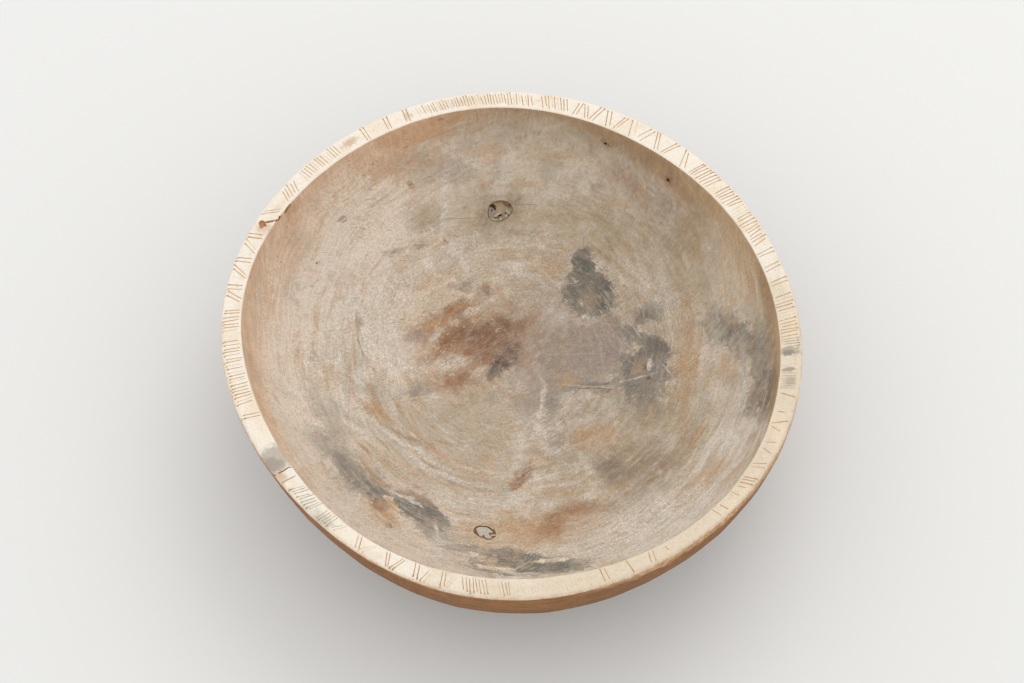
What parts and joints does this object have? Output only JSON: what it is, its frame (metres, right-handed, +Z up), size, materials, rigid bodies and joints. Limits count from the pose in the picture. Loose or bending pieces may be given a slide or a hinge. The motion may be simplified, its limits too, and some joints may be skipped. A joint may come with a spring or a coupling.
{
  "type": "carved wooden bowl",
  "caption": "Wide shallow root bowl carved from one block of pale wood, with a flat rim cut with short lines, a grown-in knot and filled flaws.",
  "frame": {"origin": "on the base plane, under the middle of the bowl's outline", "axes": "+Z up out of the bowl's mouth, +Y towards the side that is highest in the picture, +X to the right in the picture"},
  "size_m": [0.4212, 0.4204, 0.14],
  "materials": {
    "carved_wood": "dry, unvarnished, grey-beige inside with grey and brown stains, cream on the rim, tan outside",
    "knot_wood": "dry, cracked, olive brown with dark gaps",
    "grey_filler": "hardened filler paste, matt pale grey",
    "cream_filler": "hardened filler paste, matt cream"
  },
  "bodies": {
    "root": {"bowl_body": "carved_wood", "encased_knot": "knot_wood", "knot_hole_filler": "grey_filler", "rim_filler": "cream_filler"}
  },
  "joints": []
}
